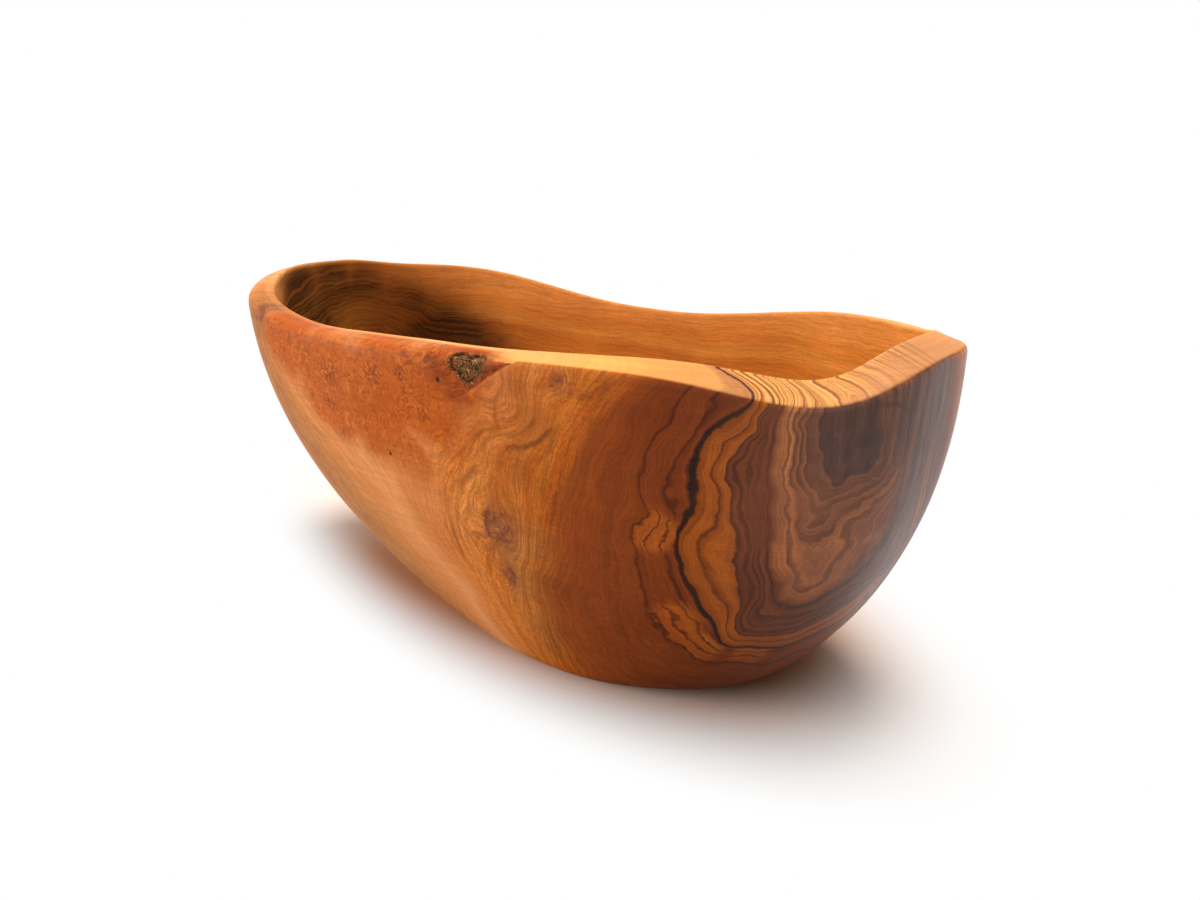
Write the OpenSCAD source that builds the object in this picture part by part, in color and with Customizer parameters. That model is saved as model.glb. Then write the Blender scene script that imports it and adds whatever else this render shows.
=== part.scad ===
// Oblong fruit bowl, carved from one billet of olive wood.
// The wavy rim slopes outwards, the front side is straighter than the back, and the wall
// springs from a flat base that lies towards the steep end.
// A pocket of ingrown bark sits in the front side, just under the rim.
// Millimetres, +Z up. The origin lies on the resting plane, under the middle of the overall box.
// +X points to the steep end and -Y to the front.

/* [Plan] */
// Length over the rim
bowl_length = 300; // [230:5:380]
// Width over the rim
bowl_width = 136; // [118:1:180]
// Squareness of the corners at the front, where 2 is an ellipse
front_squareness = 3.5; // [2:0.1:4]
// Squareness of the corners at the back, where 2 is an ellipse
back_squareness = 2.25; // [2:0.05:4]

/* [Rim] */
// Mean height of the outer edge of the rim
rim_height = 117.5; // [90:0.5:150]
// Rise of the far end, and fall of the steep end, from the mean
far_rise = 5.2; // [0:0.1:10]
// Angle round the bowl at which that rise is greatest
far_rise_turn = 160; // [140:1:220]
// Rise of both ends, and fall of both sides, from the mean
end_rise = 4.4; // [0:0.1:10]
// Angle round the bowl at which that rise is greatest
end_rise_turn = 8.3; // [-20:0.1:20]
// Heights of the ripples that repeat three, four, five and six times round
rim_ripple = [1.65, 1.05, 1.15, 1.35]; // [0:0.05:3]
// Phases of those ripples
rim_ripple_phase = [107, 100, -53, -20]; // [-180:1:180]
// Width of the rim's top at the ends
rim_end_width = 10.7; // [7:0.1:15]
// Width of the rim's top at the sides
rim_side_width = 12.6; // [7:0.1:16]
// Mean rise of the rim's top from its outer edge to its inner edge
rim_slope = 3.2; // [0:0.1:6]
// Change of that rise, once and twice round
rim_slope_swing = [1.3, 2.7]; // [0:0.05:3]
// Phases of that change
rim_slope_phase = [51, -64]; // [-180:1:180]
// Length over which the rim's edges are eased where they are crisp
crisp_ease = 1.8; // [0.6:0.1:3]
// Length over which the rim's outer edge is rolled over round the far end
soft_ease = 6; // [2:0.1:8]
// Angle round the bowl at the middle of the rolled stretch
soft_turn = 215; // [180:1:230]
// Angle that the rolled stretch takes up round the bowl
soft_span = 134; // [60:1:160]

/* [Wall] */
// Sweep of the wall's arc at the ends, in degrees
end_arc = 92; // [70:1:95]
// Sweep of the wall's arc at the sides, in degrees
side_arc = 85; // [60:1:95]
// Leanness of the wall at the steep end, where 1 is a plain arc
near_flare = 1.28; // [0.8:0.01:1.7]
// Leanness of the wall at the far end
far_flare = 1.19; // [0.8:0.01:1.7]
// Leanness of the wall at the front
front_flare = 1.72; // [0.8:0.01:1.8]
// Leanness of the wall at the back
back_flare = 1.42; // [0.8:0.01:1.7]

/* [Base] */
// Length of the flat base
base_length = 111; // [70:1:140]
// Width of the flat base
base_width = 98; // [60:1:104]
// How far the base lies from mid-length, towards the steep end
base_offset = 34; // [0:1:40]
// Squareness of the base, where 2 is an ellipse
base_squareness = 2.2; // [2:0.1:3]
// Length over which the edge of the base is eased
base_ease = 4; // [1:0.5:6]

/* [Hollow] */
// Thickness of the wood under the hollow
floor_thickness = 14; // [8:0.5:22]
// How far the flat of the hollow lies inside the edge of the base
floor_inset = 13; // [8:0.5:22]

/* [Bark] */
// Angle round the bowl at which the bark pocket lies
bark_turn = 277.5; // [262:0.5:290]
// Depth of the pocket's middle below the outer edge of the rim
bark_drop = 3.8; // [3:0.1:20]
// Depth of the pocket's middle behind the outer wall
bark_inset = 1.8; // [0.5:0.1:3]
// Lean of the pocket's face from upright
bark_lean = 28; // [0:1:40]
// Length of the pocket along the wall
bark_length = 16; // [8:0.5:26]
// Height of the pocket up the wall
bark_height = 9; // [5:0.5:12]
// Depth of the pocket below the middle of its face
bark_depth = 4.5; // [3:0.1:6]
// Depth of the bark's face below the middle of the pocket
bark_recess = 0.5; // [0.2:0.1:1.2]

/* [Hidden] */

// Columns round the bowl, and rows up its outer and inner walls
columns = 96;
outer_rows = 11;
inner_rows = 10;
// Steps round each eased edge, and the most that an ease takes of a neighbouring face
ease_steps = 3;
ease_limit = 0.48;
// Angle over which the rolled edge of the rim becomes a crisp one
soft_blend = 7;
// Columns round the pocket, and the lobes of its outline as counts, heights and phases
bark_columns = 18;
bark_lobes = [[3, 0.14, -90], [5, 0.06, 110]];
// Rings of the pocket below and above the bark's face, in degrees of latitude
bark_rings_below = [-65, -38];
bark_ring_above = 40;
// Small steps for measuring slopes, round the bowl in degrees and up the wall as a share
turn_step = 0.01;
rise_step = 0.001;

function mix(a, b, t) = a + (b - a) * t;
function unit(v) = v / norm(v);
function smooth(t) = let (c = min(1, max(0, t))) c * c * (3 - 2 * c);
function signed_power(v, e) = sign(v) * pow(abs(v), e);

// Sizes that change smoothly round the bowl
function ends_to_sides(end, side, a) = mix(side, end, pow(cos(a), 2));
function far_to_near(far, near, a) = mix(far, near, (1 + cos(a)) / 2);
function front_to_back(front, back, a) = mix(front, back, (1 + sin(a)) / 2);
function swell(heights, phases, first, a) =
    heights * [for (i = [0:len(heights) - 1]) cos((first + i) * a - phases[i])];

// Superelliptic outlines, with columns spread evenly along them
function squareness(a) = sin(a) < 0 ? front_squareness : back_squareness;
function column_angle(t) =
    let (half = squareness(t) / 2)
    atan2(signed_power(sin(t), half), signed_power(cos(t), half));
function oval(length, width, n, a) =
    [length / 2 * signed_power(cos(a), 2 / n), width / 2 * signed_power(sin(a), 2 / n)];

// Outline of the rim in plan, and the way that its edge faces
function rim_outline(a) = oval(bowl_length, bowl_width, squareness(a), a);
function rim_outward(a) =
    let (run = unit(rim_outline(a + turn_step) - rim_outline(a - turn_step)))
    [run.y, -run.x];

// Edges of the rim, the base and the floor of the hollow
function rim_edge_height(a) =
    rim_height
    + far_rise * cos(a - far_rise_turn)
    + end_rise * cos(2 * (a - end_rise_turn))
    + swell(rim_ripple, rim_ripple_phase, 3, a);
function outer_edge(a) = let (p = rim_outline(a)) [p.x, p.y, rim_edge_height(a)];
function inner_edge(a) =
    let (
        p = rim_outline(a) - rim_outward(a) * ends_to_sides(rim_end_width, rim_side_width, a),
        rise = rim_slope + swell(rim_slope_swing, rim_slope_phase, 1, a)
    )
    [p.x, p.y, rim_edge_height(a) + rise];
function base_oval(inset, height, a) =
    let (p = oval(base_length - 2 * inset, base_width - 2 * inset, base_squareness, a))
    [p.x + base_offset, p.y, height];
function base_edge(a) = base_oval(0, 0, a);
function floor_edge(a) = base_oval(floor_inset, floor_thickness, a);

// Wall that springs from a foot and sweeps up to a lip, at a share of its arc
function wall_arc(a) = ends_to_sides(end_arc, side_arc, a);
function wall_flare(a) =
    ends_to_sides(far_to_near(far_flare, near_flare, a), front_to_back(front_flare, back_flare, a), a);
function wall_point(foot, lip, a, share) =
    let (
        arc = wall_arc(a),
        out = pow(sin(share * arc) / sin(arc), wall_flare(a)),
        up = (1 - cos(share * arc)) / (1 - cos(arc))
    )
    [mix(foot.x, lip.x, out), mix(foot.y, lip.y, out), mix(foot.z, lip.z, up)];
function outer_wall(a, share) = wall_point(base_edge(a), outer_edge(a), a, share);
function outer_share(a, height) =
    let (arc = wall_arc(a))
    acos(1 - height / rim_edge_height(a) * (1 - cos(arc))) / arc;
function inner_wall(a, share) = wall_point(floor_edge(a), inner_edge(a), a, share);

// Quadratic curve that rounds a corner, and a corner eased towards its two neighbours
function rounding(start, corner, end) =
    [for (i = [0:ease_steps])
        let (t = i / ease_steps)
        mix(mix(start, corner, t), mix(corner, end, t), t)];
function eased(before, corner, after, ease) =
    let (
        back = before - corner,
        forth = after - corner,
        reach = min(ease, ease_limit * min(norm(back), norm(forth)))
    )
    rounding(corner + reach * unit(back), corner, corner + reach * unit(forth));
function rolled_ease(t) =
    mix(crisp_ease, soft_ease, smooth((soft_span / 2 - abs(t - soft_turn)) / soft_blend + 0.5));

// One column of the carved body, from the base over the rim to the floor
function body_column(t) =
    let (
        a = column_angle(t),
        foot = base_edge(a),
        foot_start = foot + base_ease * unit([base_offset, 0, 0] - foot),
        foot_share = outer_share(a, base_ease),
        outside = [for (i = [0:outer_rows - 1]) outer_wall(a, mix(foot_share, 1, i / outer_rows))],
        inside = [for (i = [inner_rows - 1:-1:0]) inner_wall(a, i / inner_rows)],
        outer_lip = outer_edge(a),
        inner_lip = inner_edge(a)
    )
    concat(
        [for (i = [0:ease_steps - 1]) rounding(foot_start, foot, outside[0])[i]],
        outside,
        eased(outside[outer_rows - 1], outer_lip, inner_lip, rolled_ease(t)),
        eased(outer_lip, inner_lip, inside[0], crisp_ease),
        inside
    );

// Triangles between neighbouring columns, which close into a ring
function ring_faces(count, rows) =
    [for (i = [0:count - 1], k = [0:rows - 2], half = [0, 1])
        let (here = i * rows + k, next = (i + 1) % count * rows + k)
        half == 0 ? [here, here + 1, next + 1] : [here, next + 1, next]];

module carved_body() {
    body = [for (i = [0:columns - 1]) body_column(360 * i / columns)];
    rows = len(body[0]);
    base = [for (i = [0:columns - 1]) i * rows];
    hollow_floor = [for (i = [columns - 1:-1:0]) i * rows + rows - 1];
    polyhedron(
        points = [for (column = body) each column],
        faces = concat(ring_faces(columns, rows), [base, hollow_floor])
    );
}

// Middle of the bark pocket, with axes along the wall, up its leaning face and out of that face
bark_angle = column_angle(bark_turn);
bark_share = outer_share(bark_angle, rim_edge_height(bark_angle) - bark_drop);
bark_along = unit(
    outer_wall(bark_angle + turn_step, bark_share) - outer_wall(bark_angle - turn_step, bark_share)
);
bark_rise = unit(
    outer_wall(bark_angle, bark_share + rise_step) - outer_wall(bark_angle, bark_share - rise_step)
);
bark_outward = cross(bark_along, bark_rise);
bark_middle = outer_wall(bark_angle, bark_share) - bark_outward * bark_inset;
bark_up = bark_rise * cos(bark_lean) - bark_outward * sin(bark_lean);
bark_out = bark_outward * cos(bark_lean) + bark_rise * sin(bark_lean);
bark_face_ring = -asin(bark_recess / bark_depth);

// Uneven lump that the bark fills, as columns of points from its root upwards
function bark_point(latitude, longitude) =
    let (
        lobe = 1 + [for (l = bark_lobes) l[1]] * [for (l = bark_lobes) cos(l[0] * longitude + l[2])],
        reach = cos(latitude) * lobe
    )
    bark_middle
    + bark_along * bark_length / 2 * reach * cos(longitude)
    + bark_up * bark_height / 2 * reach * sin(longitude)
    + bark_out * bark_depth * sin(latitude);

module bark_lump(rings, top) {
    rows = len(rings);
    root = bark_columns * rows;
    points = concat(
        [for (i = [0:bark_columns - 1], ring = rings) bark_point(ring, 360 * i / bark_columns)],
        [bark_point(-90, 0), top]
    );
    root_faces = [for (i = [0:bark_columns - 1]) [root, i * rows, (i + 1) % bark_columns * rows]];
    top_faces = [for (i = [0:bark_columns - 1])
        [root + 1, (i + 1) % bark_columns * rows + rows - 1, i * rows + rows - 1]];
    polyhedron(points = points, faces = concat(ring_faces(bark_columns, rows), root_faces, top_faces));
}

module bowl() {
    color("peru")
    difference() {
        carved_body();
        bark_lump(concat(bark_rings_below, [bark_face_ring, bark_ring_above]), bark_point(90, 0));
    }
}

module bark_inclusion() {
    color("saddlebrown")
    bark_lump(concat(bark_rings_below, [bark_face_ring]), bark_middle - bark_out * bark_recess);
}

bowl();
bark_inclusion();
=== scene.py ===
"""Looks of an oblong olive-wood fruit bowl, built in the frame of its solids."""

import math
from functools import cached_property, partial, reduce

import bpy
import numpy as np
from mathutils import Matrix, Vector, noise


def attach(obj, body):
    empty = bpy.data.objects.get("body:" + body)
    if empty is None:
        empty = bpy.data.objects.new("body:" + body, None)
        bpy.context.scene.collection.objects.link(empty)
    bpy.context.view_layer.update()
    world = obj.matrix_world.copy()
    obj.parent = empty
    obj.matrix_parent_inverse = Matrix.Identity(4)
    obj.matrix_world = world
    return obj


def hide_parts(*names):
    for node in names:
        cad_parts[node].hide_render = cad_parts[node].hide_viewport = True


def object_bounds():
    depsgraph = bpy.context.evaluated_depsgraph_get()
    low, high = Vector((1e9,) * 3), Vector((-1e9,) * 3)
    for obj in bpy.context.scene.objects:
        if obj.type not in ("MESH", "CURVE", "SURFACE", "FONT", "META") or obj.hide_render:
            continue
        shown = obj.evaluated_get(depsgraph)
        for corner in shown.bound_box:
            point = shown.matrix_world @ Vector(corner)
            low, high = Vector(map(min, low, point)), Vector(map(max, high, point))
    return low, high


MM = 0.001

# The bowl's plan, rim, wall, base and hollow, in millimetres and degrees, as its solids have them
BOWL_LENGTH, BOWL_WIDTH = 300, 136
FRONT_SQUARENESS, BACK_SQUARENESS = 3.5, 2.25
RIM_HEIGHT = 117.5
FAR_RISE, FAR_RISE_TURN = 5.2, 160
END_RISE, END_RISE_TURN = 4.4, 8.3
RIM_RIPPLE, RIM_RIPPLE_PHASE = (1.65, 1.05, 1.15, 1.35), (107, 100, -53, -20)
RIM_END_WIDTH, RIM_SIDE_WIDTH = 10.7, 12.6
RIM_SLOPE, RIM_SLOPE_SWING, RIM_SLOPE_PHASE = 3.2, (1.3, 2.7), (51, -64)
CRISP_EASE, SOFT_EASE, SOFT_TURN, SOFT_SPAN, SOFT_BLEND = 1.8, 6, 215, 134, 7
END_ARC, SIDE_ARC = 92, 85
NEAR_FLARE, FAR_FLARE, FRONT_FLARE, BACK_FLARE = 1.28, 1.19, 1.72, 1.42
BASE_LENGTH, BASE_WIDTH, BASE_OFFSET = 111, 98, 34
BASE_SQUARENESS, BASE_EASE = 2.2, 4
FLOOR_THICKNESS, FLOOR_INSET = 14, 13
EASE_LIMIT = 0.48
TURN_STEP, RISE_STEP = 0.01, 0.001

# The pocket of ingrown bark, as its solids have it
BARK_TURN, BARK_DROP, BARK_INSET, BARK_LEAN = 277.5, 3.8, 1.8, 28
BARK_LENGTH, BARK_HEIGHT, BARK_DEPTH = 16, 9, 4.5
BARK_LOBES = ((3, 0.14, -90), (5, 0.06, 110))

# Camera that took the photograph
CAMERA_PLACE = (228.05, -258.88, 162.03)
CAMERA_AZIMUTH, CAMERA_ELEVATION = 38.726, 16.066
CAMERA_LENS, SENSOR_WIDTH, CAMERA_CLIP = 27, 36, 0.01


def mix(a, b, t):
    return a + (b - a) * t


def smooth(t):
    t = np.clip(t, 0, 1)
    return t * t * (3 - 2 * t)


def cosd(a):
    return np.cos(np.radians(a))


def sind(a):
    return np.sin(np.radians(a))


def unit(v):
    return v / np.linalg.norm(v, axis=-1, keepdims=True)


def signed_power(v, e):
    return np.sign(v) * np.abs(v) ** e


# Sizes that change smoothly round the bowl


def ends_to_sides(end, side, a):
    return mix(side, end, cosd(a) ** 2)


def swell(heights, phases, first, a):
    return sum(h * cosd((first + i) * a - p) for i, (h, p) in enumerate(zip(heights, phases)))


# Outlines, edges and walls, as functions of the angle round the bowl


def squareness(a):
    return np.where(sind(a) < 0, FRONT_SQUARENESS, BACK_SQUARENESS)


def column_angle(turn):
    half = squareness(turn) / 2
    return np.degrees(np.arctan2(signed_power(sind(turn), half), signed_power(cosd(turn), half)))


def oval(length, width, n, a):
    return length / 2 * signed_power(cosd(a), 2 / n), width / 2 * signed_power(sind(a), 2 / n)


def rim_outline(a):
    return np.stack(oval(BOWL_LENGTH, BOWL_WIDTH, squareness(a), a), -1)


def rim_outward(a):
    run = unit(rim_outline(a + TURN_STEP) - rim_outline(a - TURN_STEP))
    return np.stack([run[..., 1], -run[..., 0]], -1)


def rim_edge_height(a):
    return (
        RIM_HEIGHT
        + FAR_RISE * cosd(a - FAR_RISE_TURN)
        + END_RISE * cosd(2 * (a - END_RISE_TURN))
        + swell(RIM_RIPPLE, RIM_RIPPLE_PHASE, 3, a)
    )


def outer_edge(a):
    return np.concatenate([rim_outline(a), rim_edge_height(a)[..., None]], -1)


def inner_edge(a):
    width = ends_to_sides(RIM_END_WIDTH, RIM_SIDE_WIDTH, a)
    plan = rim_outline(a) - rim_outward(a) * width[..., None]
    rise = RIM_SLOPE + swell(RIM_SLOPE_SWING, RIM_SLOPE_PHASE, 1, a)
    return np.concatenate([plan, (rim_edge_height(a) + rise)[..., None]], -1)


def base_oval(inset, height, a):
    x, y = oval(BASE_LENGTH - 2 * inset, BASE_WIDTH - 2 * inset, BASE_SQUARENESS, a)
    return np.stack([x + BASE_OFFSET, y, np.full_like(x, height)], -1)


def wall_arc(a):
    return ends_to_sides(END_ARC, SIDE_ARC, a)


def wall_flare(a):
    ends = mix(FAR_FLARE, NEAR_FLARE, (1 + cosd(a)) / 2)
    sides = mix(FRONT_FLARE, BACK_FLARE, (1 + sind(a)) / 2)
    return ends_to_sides(ends, sides, a)


def wall_point(foot, lip, a, share):
    arc = wall_arc(a)
    out = (sind(share * arc) / sind(arc)) ** wall_flare(a)
    up = (1 - cosd(share * arc)) / (1 - cosd(arc))
    return mix(foot, lip, np.stack([out, out, up], -1))


def outer_wall(a, share):
    return wall_point(base_oval(0, 0, a), outer_edge(a), a, share)


def inner_wall(a, share):
    return wall_point(base_oval(FLOOR_INSET, FLOOR_THICKNESS, a), inner_edge(a), a, share)


def outer_share(a, height):
    arc = wall_arc(a)
    rise = np.clip(height / rim_edge_height(a), 0, 1)
    return np.degrees(np.arccos(1 - rise * (1 - cosd(arc)))) / arc


# The carved surface, as rows of points from the middle of the base over the rim to the floor

COLUMNS, FINE_TURNS = 760, 7201
DENSE_PARTS = ((276, 18, 2.5), (318, 22, 1.5))
BASE_ROWS, OUTER_ROWS, EASE_ROWS, TOP_ROWS, INNER_ROWS, FLOOR_ROWS = 14, 120, 7, 10, 72, 14
ROW_CROWDING = 1.5
WRAP_RADIUS, INNER_DRIFT = 120, 0.8
CARVING_WAVE, CARVING_DEPTH = 0.035, 0.22
POLISH_START, POLISH_FADE = 90, 56
CRISP_START, CRISP_RISE, ROLLED_START, ROLLED_RISE, ROLLED_FADE = -0.09, 0.06, 0.35, 0.35, 40
# Lightness of the rim's top and lips, which is partly sanded wood and partly painted light
EDGE_LEAD, LIP_LIGHT, LIP_FADE = 0.2, 1.3, 1.6
DULL_RIM, BRIGHT_START, BRIGHT_RISE, BRIGHT_END, BRIGHT_FALL = 0.25, 232, 48, 75, 55


def column_turns():
    """Angles of the columns, closer together round the bark and the heart."""
    fine = np.linspace(0, 360, FINE_TURNS)
    density = 1 + sum(gain * np.exp(-(((fine - turn) / span) ** 2)) for turn, span, gain in DENSE_PARTS)
    total = np.concatenate([[0], np.cumsum((density[1:] + density[:-1]) / 2)])
    return np.interp(np.arange(COLUMNS) / COLUMNS * total[-1], total, fine)


def rounding(start, corner, end, rows):
    steps = [i / rows for i in range(rows + 1)]
    return [mix(mix(start, corner, t), mix(corner, end, t), t) for t in steps]


def rolled_share(turn):
    return smooth((SOFT_SPAN / 2 - np.abs(turn - SOFT_TURN)) / SOFT_BLEND + 0.5)


def rim_brightness(turn):
    """Lightness of the rim round the bowl, from sanding and painted light: bright from the bark over the
    steep end.
    """
    near, end = smooth((turn - BRIGHT_START) / BRIGHT_RISE), smooth((BRIGHT_END - turn) / BRIGHT_FALL)
    return mix(DULL_RIM, 1, near + end)


def rim_lightness(turn, across):
    """Rim lightness from sanding and painted light, which fades in half way across where its edge is rolled
    over.
    """
    crisp = smooth((across - CRISP_START) / CRISP_RISE)
    rolled = smooth((across - ROLLED_START) / ROLLED_RISE)
    back_share = smooth((turn - SOFT_TURN + SOFT_SPAN / 2) / ROLLED_FADE)
    return mix(crisp, rolled, rolled_share(turn) * back_share) * rim_brightness(turn)


def carve(turns):
    """Rows of points, each with its depth in the wood, lightness, share inside and share across the rim."""
    rows = []

    def add(points, depth=0.0, top=0.0, inside=0.0, across=0.0):
        values = [np.broadcast_to(value, len(points)) for value in (depth, top, inside, across)]
        rows.append(np.column_stack([points, *values]))

    a = column_angle(turns)
    foot = base_oval(0, 0, a)
    centre = np.array([BASE_OFFSET, 0, 0])
    foot_start = foot + BASE_EASE * unit(centre - foot)
    foot_share = outer_share(a, BASE_EASE)
    for i in range(1, BASE_ROWS):
        add(mix(centre, foot_start, i / BASE_ROWS), WRAP_RADIUS * (1 - i / BASE_ROWS))
    for row in rounding(foot_start, foot, outer_wall(a, foot_share), EASE_ROWS)[:-1]:
        add(row)

    lip, inner_lip = outer_edge(a), inner_edge(a)
    across = np.linalg.norm(inner_lip - lip, axis=-1)
    reach = np.minimum(mix(CRISP_EASE, SOFT_EASE, rolled_share(turns)), EASE_LIMIT * across)
    top_share = outer_share(a, lip[:, 2] - reach)
    for i in range(OUTER_ROWS):
        way = 1 - (1 - i / OUTER_ROWS) ** ROW_CROWDING
        add(outer_wall(a, mix(foot_share, top_share, way)))
    way_in = unit(inner_lip - lip)
    top_start = lip + way_in * reach[:, None]
    top_end = inner_lip - way_in * CRISP_EASE
    for i, row in enumerate(rounding(outer_wall(a, top_share), lip, top_start, EASE_ROWS)[:-1]):
        add(row, top=rim_lightness(turns, EDGE_LEAD * (i / EASE_ROWS - 1)))
    for i in range(TOP_ROWS):
        way = i / TOP_ROWS
        add(mix(top_start, top_end, way), top=rim_lightness(turns, way), across=way)
    inner_share = 1 - CRISP_EASE / RIM_HEIGHT
    for i, row in enumerate(rounding(top_end, inner_lip, inner_wall(a, inner_share), EASE_ROWS)[:-1]):
        lightness = smooth(LIP_LIGHT - LIP_FADE * i / EASE_ROWS) * rim_brightness(turns)
        add(row, top=lightness, inside=i / EASE_ROWS, across=1.0)
    for i in range(INNER_ROWS):
        row = inner_wall(a, inner_share * (1 - i / INNER_ROWS))
        add(row, INNER_DRIFT * (inner_lip[:, 2] - row[:, 2]), inside=1.0, across=1.0)
    floor_edge = base_oval(FLOOR_INSET, FLOOR_THICKNESS, a)
    floor_middle = centre + np.array([0, 0, FLOOR_THICKNESS])
    floor_radius = WRAP_RADIUS - INNER_DRIFT * (inner_lip[:, 2] - FLOOR_THICKNESS)
    for i in range(FLOOR_ROWS):
        share = 1 - i / FLOOR_ROWS
        depth = WRAP_RADIUS - floor_radius * share
        add(mix(floor_middle, floor_edge, share), depth, inside=1.0, across=1.0)
    ends = [(*centre, WRAP_RADIUS, 0, 0, 0), (*floor_middle, WRAP_RADIUS, 0, 1, 1)]
    return np.array(rows), ends


def ring_faces(rows, columns):
    """Quads between rows of a grid that closes round, and fans on its two middle points."""
    ring = np.arange(columns)
    after = (ring + 1) % columns
    starts = np.arange(rows - 1)[:, None] * columns
    quads = [starts + ring, starts + after, starts + columns + after, starts + columns + ring]
    middle, top = rows * columns, (rows - 1) * columns
    pairs = list(zip(ring.tolist(), after.tolist()))
    fans = [(middle, b, a) for a, b in pairs] + [(middle + 1, top + a, top + b) for a, b in pairs]
    return np.stack(quads, -1).reshape(-1, 4).tolist() + fans


def grid_normals(grid):
    along = np.roll(grid, -1, axis=1) - np.roll(grid, 1, axis=1)
    up = np.gradient(grid, axis=0)
    return unit(np.cross(along, up))


def carving_marks(points):
    """Faint unevenness that hand carving leaves."""
    return CARVING_DEPTH * np.array([noise.noise(Vector(p) * CARVING_WAVE) for p in points.tolist()])


def fit_box(points, low, high):
    """Draw points in to lie inside a box, in millimetres, where they reach out of it."""
    least, most = points.min(axis=0), points.max(axis=0)
    to_least, to_most = np.maximum(least, low), np.minimum(most, high)
    return to_least + (points - least) * (to_most - to_least) / (most - least)


# Pocket of the bark, with axes along the wall, up its leaning face and out of that face

BARK_MOUTH = 0.9
RAGGED_END, RAGGED_FADE = 1.6, 0.6


def bark_lobe(longitude):
    """How far the lobed edge of the bark lies out, round its middle."""
    return 1 + sum(height * cosd(count * longitude + phase) for count, height, phase in BARK_LOBES)


class BarkFrame:
    def __init__(self):
        a = column_angle(BARK_TURN)
        share = outer_share(a, rim_edge_height(a) - BARK_DROP)
        self.along = unit(outer_wall(a + TURN_STEP, share) - outer_wall(a - TURN_STEP, share))
        rise = unit(outer_wall(a, share + RISE_STEP) - outer_wall(a, share - RISE_STEP))
        outward = np.cross(self.along, rise)
        self.middle = outer_wall(a, share) - outward * BARK_INSET
        self.up = rise * cosd(BARK_LEAN) - outward * sind(BARK_LEAN)
        self.out = outward * cosd(BARK_LEAN) + rise * sind(BARK_LEAN)

    def split(self, points):
        """Points as distances along the wall, up its leaning face and out of it."""
        rel = points - self.middle
        return rel @ self.along, rel @ self.up, rel @ self.out

    def placed(self, s, t, w):
        return self.middle + s[:, None] * self.along + t[:, None] * self.up + w[:, None] * self.out

    def reach(self, s, t):
        """How far a place lies from the middle of the mouth, where 1 is its lobed edge."""
        s, t = s / (BARK_LENGTH / 2), t / (BARK_HEIGHT / 2)
        return np.hypot(s, t) / bark_lobe(np.degrees(np.arctan2(t, s))) / BARK_MOUTH

    def raggedness(self, points):
        """How torn the wood is beside the mouth."""
        s, t, w = self.split(points)
        return smooth((RAGGED_END - self.reach(s, t)) / RAGGED_FADE) * (np.abs(w) < BARK_DEPTH)

    def bed(self, reach):
        return -BARK_DEPTH * np.sqrt(np.clip(1 - reach**2, 0, 1))

    def face(self, t):
        """Level of the wall's outer face above the middle of the pocket."""
        return (BARK_INSET + t * sind(BARK_LEAN)) / cosd(BARK_LEAN)


def sink_bark(points, bark):
    """Press the pocket of the bark into the wall."""
    s, t, w = bark.split(points)
    reach = bark.reach(s, t)
    inside = (reach < 1) & (w > -BARK_DEPTH)
    sink = np.where(inside, w - np.minimum(w, bark.bed(reach)), 0)
    return points - sink[:, None] * bark.out, inside


# Scooped facet beside the bark, under a crisp edge that runs between two places on the wall

FACET_FOOT, FACET_HEAD = (271.5, 90.5), (286, 113)
FACET_DEPTH, FACET_EDGE, FACET_REACH = 1.3, 1.4, 9
FACET_RISE, FACET_END, FACET_FALL = 0.5, 1.05, 0.12


def facet(turn, height):
    """How much of the facet's depth lies at each place."""
    mm_per_degree = math.radians(WRAP_RADIUS)
    foot, head = np.array([FACET_FOOT, FACET_HEAD]) * (mm_per_degree, 1)
    run = unit(head - foot)
    rel = np.stack([turn * mm_per_degree, height], -1) - foot
    along = rel @ run / np.linalg.norm(head - foot)
    off = rel @ np.array([-run[1], run[0]])
    fade = np.exp(-np.square(np.maximum(off, 0) / FACET_REACH))
    ends = smooth(along / FACET_RISE) * smooth((FACET_END - along) / FACET_FALL)
    return smooth(off / FACET_EDGE) * fade * ends


# Growth figure: ages along lines that were laid down together, as turn and height on the outer wall

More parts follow.
